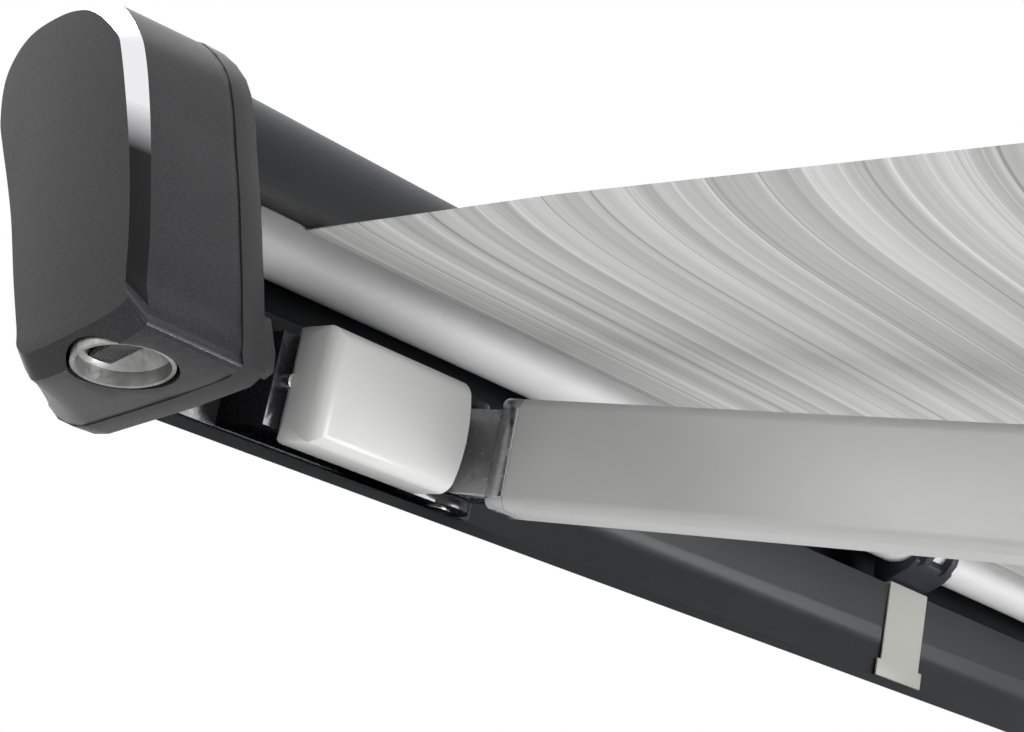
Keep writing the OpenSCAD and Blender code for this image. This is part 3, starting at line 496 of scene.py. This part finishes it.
# Stations from the joint outwards: each a ring of points at its x, extruded from a circle of as many corners
def extrudeStations(stations):
    bpy.ops.mesh.primitive_circle_add(vertices=len(stations[0][1]), radius=0.05)
    piece = bpy.context.object
    bpy.ops.object.mode_set(mode="EDIT")
    for number, (x, ring) in enumerate(stations):
        if number:
            bpy.ops.mesh.extrude_region_move()
        mesh = bmesh.from_edit_mesh(piece.data)
        chosen = sorted((vertex for vertex in mesh.verts if vertex.select), key=lambda vertex: vertex.index)
        for vertex, (out, up) in zip(chosen, ring):
            vertex.co = place(x, out, up)
        bmesh.update_edit_mesh(piece.data)
    return piece


def buildCover(side):
    sign = -1 if side == "left" else 1
    end = case["half"] + cover["length"]
    rings = {key: splineRing(cover[key], cover["steps"]) for key in ("joint", "shoulder", "face")}
    joint = insetRing(rings["joint"], cover["inset"])
    shoulderX = end - cover["bevel"]
    stations = [(sign * (case["half"] + cover["gap"]), joint)]
    for share in cover["shares"]:
        x = case["half"] + share * (shoulderX - case["half"])
        stations.append((sign * x, [tuple(a[k] + share * (b[k] - a[k]) for k in (0, 1))
                                    for a, b in zip(joint, rings["shoulder"])]))
    stations.append((sign * end, rings["face"]))
    deselectAll()
    piece = extrudeStations(stations)
    bpy.ops.mesh.edge_face_add()
    bpy.ops.mesh.select_all(action="SELECT")
    bpy.ops.mesh.normals_make_consistent(inside=False)
    bpy.ops.object.mode_set(mode="OBJECT")
    for finish in ("cover", "coverBandPaintedReflection", "coverEdge"):
        piece.data.materials.append(finishes[finish])
    # Shoulder faces above the band's starting height take slot 1, the band with its painted reflection
    for polygon in piece.data.polygons:
        nearest = min(abs(piece.data.vertices[index].co.x) * 1000 for index in polygon.vertices)
        up = polygon.center.z * 1000 + case["boltHeight"]
        if shoulderX - 1 < nearest < end - 1 and up > band["from"]:
            polygon.material_index = 1
    wall = piece.modifiers.new("wall", "SOLIDIFY")
    wall.thickness = cover["wall"]
    wall.offset = -1
    applyAll(piece)
    if side == "left":
        deselectAll()
        bpy.ops.mesh.primitive_cylinder_add(vertices=crankHole["corners"], radius=crankHole["radius"] / 1000,
                                            depth=crankHole["depth"], location=atCrank(crankHole["up"]))
        cutter = bpy.context.object
        hole = piece.modifiers.new("hole", "BOOLEAN")
        hole.object = cutter
        hole.solver = "EXACT"
        applyAll(piece)
        deselectAll()
        cutter.select_set(True)
        bpy.ops.object.delete()
    softenEdges(piece, cover["edge"], 3, cover["bevelFrom"], 2)
    smoothByAngle(piece, cover["smoothTo"])
    return settle(piece, side + "CapCover", None, "cassette", [side + "_cap_cover"])


for side in sides:
    buildCover(side)
print("cap covers built")


# Flat driving bar across the crank's cup
bar = {"size": (8.8, 25.0, 2.4), "up": 9.6, "edge": 0.0005}
deselectAll()
bpy.ops.mesh.primitive_cube_add(size=0.001, location=atCrank(bar["up"]))
dog = bpy.context.object
dog.scale = bar["size"]
pick(dog)
bpy.ops.object.transform_apply(location=True, rotation=True, scale=True)
softenEdges(dog, bar["edge"], 3, 30)
smoothByAngle(dog, 40)
settle(dog, "crankBar", finishes["casting"], bodyOf("crank_cup"), [])
print("crank bar built")


# Wound fabric: a spiral strip that leaves the roller where the canopy does

roller = {"at": (46.0, 104.0), "tube": 17.0, "turns": 2, "cloth": 0.45, "pitch": 0.9, "steps": 48,
          "width": 2412.0, "spans": 24, "clear": 0.3, "leave": 1.0, "uvRadius": 0.018}
# The housing's front lip: a bead on the roof's circle with a seal round it, which the canopy bends under
lip = {"roof": (48.0, 95.0), "radius": 44.2, "from": -16.6, "bead": 2.6, "seal": 1.4, "clear": 0.8, "wrap": 35.5}


# The canopy's way: where it leaves the roller, where it bends under the lip, and the angle it leaves at
def leavingLine():
    wrap, turned = math.radians(lip["wrap"]), math.radians(lip["from"])
    gap = lip["bead"] + lip["seal"] + lip["clear"] + roller["cloth"]
    under = Vector((lip["roof"][0] + lip["radius"] * math.cos(turned) - gap * math.sin(wrap),
                    lip["roof"][1] + lip["radius"] * math.sin(turned) - gap * math.cos(wrap)))
    reach = roller["tube"] + roller["turns"] * roller["pitch"] + roller["leave"]
    away = under - Vector(roller["at"])
    slope = math.asin(reach / away.length) + math.atan2(-away.y, away.x)
    top = Vector(roller["at"]) + reach * Vector((math.sin(slope), math.cos(slope)))
    return top, under, slope


def buildRoll():
    count = roller["turns"] * roller["steps"]
    slope = leavingLine()[2]
    deselectAll()
    bpy.ops.mesh.primitive_circle_add(vertices=count + 1, radius=0.02)
    piece = bpy.context.object
    mesh = openMesh(piece)
    mesh.verts.ensure_lookup_table()
    for edge in mesh.edges:
        if {edge.verts[0].index, edge.verts[1].index} == {0, count}:
            edge.select = True
    bpy.ops.mesh.delete(type="EDGE")
    mesh = bmesh.from_edit_mesh(piece.data)
    for vertex in mesh.verts:
        angle = math.pi / 2 - slope + 2 * math.pi * vertex.index / roller["steps"]
        radius = roller["tube"] + roller["clear"] + roller["pitch"] * (count - vertex.index) / roller["steps"]
        vertex.co = place(-roller["width"] / 2, roller["at"][0] + radius * math.cos(angle),
                          roller["at"][1] + radius * math.sin(angle))
    bpy.ops.mesh.select_all(action="SELECT")
    span = roller["width"] / roller["spans"] / 1000
    for number in range(roller["spans"]):
        bpy.ops.mesh.extrude_region_move(TRANSFORM_OT_translate={"value": (span, 0, 0)})
    bpy.ops.mesh.select_all(action="SELECT")
    bpy.ops.mesh.normals_make_consistent(inside=False)
    closeMesh(piece)
    layer = piece.data.uv_layers.new(name="cloth")
    for loop in piece.data.loops:
        co = piece.data.vertices[loop.vertex_index].co
        layer.data[loop.index].uv = (co.x, math.atan2(co.z, co.y) * roller["uvRadius"])
    thick = piece.modifiers.new("cloth", "SOLIDIFY")
    thick.thickness = roller["cloth"] / 1000
    thick.offset = 0
    applyAll(piece)
    smoothByAngle(piece, 40)
    settle(piece, "woundFabric", finishes["plainCloth"], "roller", ["fabric_roll"])
    return piece


buildRoll()
print("fabric roll built")


# Canopy: one sheet from the roller, under the lip and out to the rail

canopy = {
    "width": 2412.0, "columns": 120, "rows": 150, "thick": 0.45, "sag": 18.0, "selvage": 45.0, "lift": 3.0,
    "taut": 60.0, "curl": 6.0, "hem": 2.6, "keder": (91.0, 66.0), "kederRadius": 2.4, "kederGap": 0.3,
    "crowding": 0.13, "rowPower": 1.5, "easeIn": 120, "easeOut": 12, "selvageFall": 2.2, "curlAtRoll": 0.35,
    "ripple": 0.5, "rippleAcross": 61, "rippleAlong": 143, "rippleSkew": 210,
}


def buildCanopy():
    top, under, slope = leavingLine()
    end = Vector(canopy["keder"]) + (case["travel"] - canopy["kederRadius"] - canopy["kederGap"]) * Vector(outDir)
    first, second = (under - top).length, (end - under).length
    total = first + second
    deselectAll()
    bpy.ops.mesh.primitive_grid_add(x_subdivisions=canopy["columns"], y_subdivisions=canopy["rows"], size=1)
    piece = bpy.context.object
    half = canopy["width"] / 2
    spots = []
    for vertex in piece.data.vertices:
        u, t = vertex.co.x + 0.5, vertex.co.y + 0.5
        across = (u - canopy["crowding"] * math.sin(2 * math.pi * u)) * canopy["width"] - half
        along = total * t ** canopy["rowPower"]
        fromEdge = half - abs(across)
        if along < first:
            spot, share = top.lerp(under, along / first), 0.0
        else:
            share = (along - first) / second
            spot = under.lerp(end, share)
        cover = min(1.0, fromEdge / canopy["taut"])
        drop = canopy["sag"] * 4 * share * (1 - share) * (0.5 + 0.5 * math.sin(math.pi / 2 * cover))
        edgeShare = math.exp(-fromEdge / (canopy["selvage"] / canopy["selvageFall"]))
        ease = min(1.0, max(0.0, along - first) / canopy["easeIn"]) * min(1.0, (1 - share) * canopy["easeOut"])
        drop -= canopy["lift"] * edgeShare * ease
        drop += (canopy["ripple"] * ease * math.sin(across / canopy["rippleAcross"])
                 * math.sin(along / canopy["rippleAlong"] + across / canopy["rippleSkew"]))
        vertex.co = place(across, spot.x, spot.y - drop)
        curl = canopy["curl"] * edgeShare * (canopy["curlAtRoll"] + (1 - canopy["curlAtRoll"]) * ease)
        spots.append((across / 1000, (along - curl) / 1000, fromEdge))
    for layer in list(piece.data.uv_layers):
        piece.data.uv_layers.remove(layer)
    layer = piece.data.uv_layers.new(name="cloth")
    for loop in piece.data.loops:
        layer.data[loop.index].uv = spots[loop.vertex_index][:2]
    for finish in ("stripedCloth", "hem"):
        piece.data.materials.append(finishes[finish])
    for polygon in piece.data.polygons:
        if max(spots[index][2] for index in polygon.vertices) < canopy["hem"]:
            polygon.material_index = 1
    thick = piece.modifiers.new("cloth", "SOLIDIFY")
    thick.thickness = canopy["thick"] / 1000
    thick.offset = 0
    applyAll(piece)
    smoothByAngle(piece, 50)
    settle(piece, "stripedCanopy", None, "cassette", ["canopy"])
    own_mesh(piece)
    return piece


buildCanopy()
print("canopy built")


# Roller supports: bent strap with its foot, and the cradle with two curved prongs

for node, finish, slot, edge in (("roller_straps", "strap", "grey_strip", 0.0003),
                                 ("roller_cradles", "cradlePlastic", "black_plastic", 0.0006)):
    dressNode(node, finish, edge)
print("roller supports dressed")

# Camera, floor and light

view = {"at": (-1.5883, -0.5215, -0.3221), "right": (0.6693, -0.7428, -0.0189),
        "up": (-0.3120, -0.3040, 0.9001), "ahead": (0.6743, 0.5965, 0.4352), "lens": 66.09, "sensor": 36.0,
        "near": 0.01}
deselectAll()
bpy.ops.object.camera_add(location=view["at"])
camera = bpy.context.object
axes = Matrix((view["right"], view["up"], tuple(-part for part in view["ahead"]))).transposed()
camera.rotation_euler = axes.to_euler()
camera.data.lens = view["lens"]
camera.data.sensor_width = view["sensor"]
camera.data.clip_start = view["near"]
bpy.context.scene.camera = camera

floor = {"height": -1.7, "size": 30, "colour": (0.88, 0.88, 0.88), "rough": 0.9}
bpy.ops.mesh.primitive_plane_add(size=floor["size"], location=(0, -1, floor["height"]))
ground = bpy.context.object
ground.name = "floor"
bpy.ops.object.transform_apply(location=True)
floorMaterial, _, _, floorShader = newMaterial("paleFloor")
floorShader.inputs["Base Color"].default_value = (*floor["colour"], 1)
floorShader.inputs["Roughness"].default_value = floor["rough"]
ground.data.materials.append(floorMaterial)

world = bpy.data.worlds.new("studio")
bpy.context.scene.world = world
world.use_nodes = True
worldNodes, worldLinks = world.node_tree.nodes, world.node_tree.links
background = worldNodes["Background"]
background.inputs["Color"].default_value = (1, 1, 1, 1)

# Brightness by the height that a ray looks at
sky = {"low": 0.30, "lowFrom": -0.5, "lowEnd": 0.1, "level": 0.12, "levelEnd": 0.42,
       "high": 0.85, "highStart": 0.62}


def skyRange(fromLow, fromHigh, low, high, easing):
    node = worldNodes.new("ShaderNodeMapRange")
    node.interpolation_type = easing
    for name, value in (("From Min", fromLow), ("From Max", fromHigh), ("To Min", low), ("To Max", high)):
        node.inputs[name].default_value = value
    worldLinks.new(height.outputs["Z"], node.inputs["Value"])
    return node.outputs["Result"]


way = worldNodes.new("ShaderNodeTexCoord")
height = worldNodes.new("ShaderNodeSeparateXYZ")
worldLinks.new(way.outputs["Generated"], height.inputs[0])
both = worldNodes.new("ShaderNodeMath")
both.operation = "ADD"
upper = skyRange(sky["levelEnd"], sky["highStart"], sky["level"], sky["high"], "SMOOTHSTEP")
lower = skyRange(sky["lowFrom"], sky["lowEnd"], sky["low"] - sky["level"], 0, "LINEAR")
worldLinks.new(upper, both.inputs[0])
worldLinks.new(lower, both.inputs[1])
rays = worldNodes.new("ShaderNodeLightPath")
strength = worldNodes.new("ShaderNodeMix")
strength.inputs[3].default_value = 1.0   # the background that the camera, metal and glass see is white
shown = rays.outputs["Is Camera Ray"]
for name in ("Is Glossy Ray", "Is Transmission Ray"):
    either = worldNodes.new("ShaderNodeMath")
    either.operation = "MAXIMUM"
    worldLinks.new(shown, either.inputs[0])
    worldLinks.new(rays.outputs[name], either.inputs[1])
    shown = either.outputs[0]
worldLinks.new(shown, strength.inputs["Factor"])
worldLinks.new(both.outputs[0], strength.inputs[2])
worldLinks.new(strength.outputs[0], background.inputs["Strength"])

lamps = {
    "frontLow": {"at": (0.6, -3.0, -1.7), "aim": (-0.8, -0.3, 0.0), "size": 2.2, "power": 260},
    "overhead": {"at": (-1.15, 0.45, 2.0), "aim": (-1.27, -0.05, 0.0), "size": 0.8, "power": 45},
    "endSide": {"at": (-3.6, 0.4, 0.5), "aim": (-1.25, -0.05, 0.0), "size": 1.4, "power": 8},
}
for name, lamp in lamps.items():
    bpy.ops.object.light_add(type="AREA", location=lamp["at"])
    light = bpy.context.object
    light.name = name
    light.data.size = lamp["size"]
    light.data.energy = lamp["power"]
    light.rotation_euler = (Vector(lamp["aim"]) - Vector(lamp["at"])).to_track_quat("-Z", "Y").to_euler()
bpy.context.scene.view_settings.view_transform = "Standard"
print("camera, floor and light set")

deselectAll()
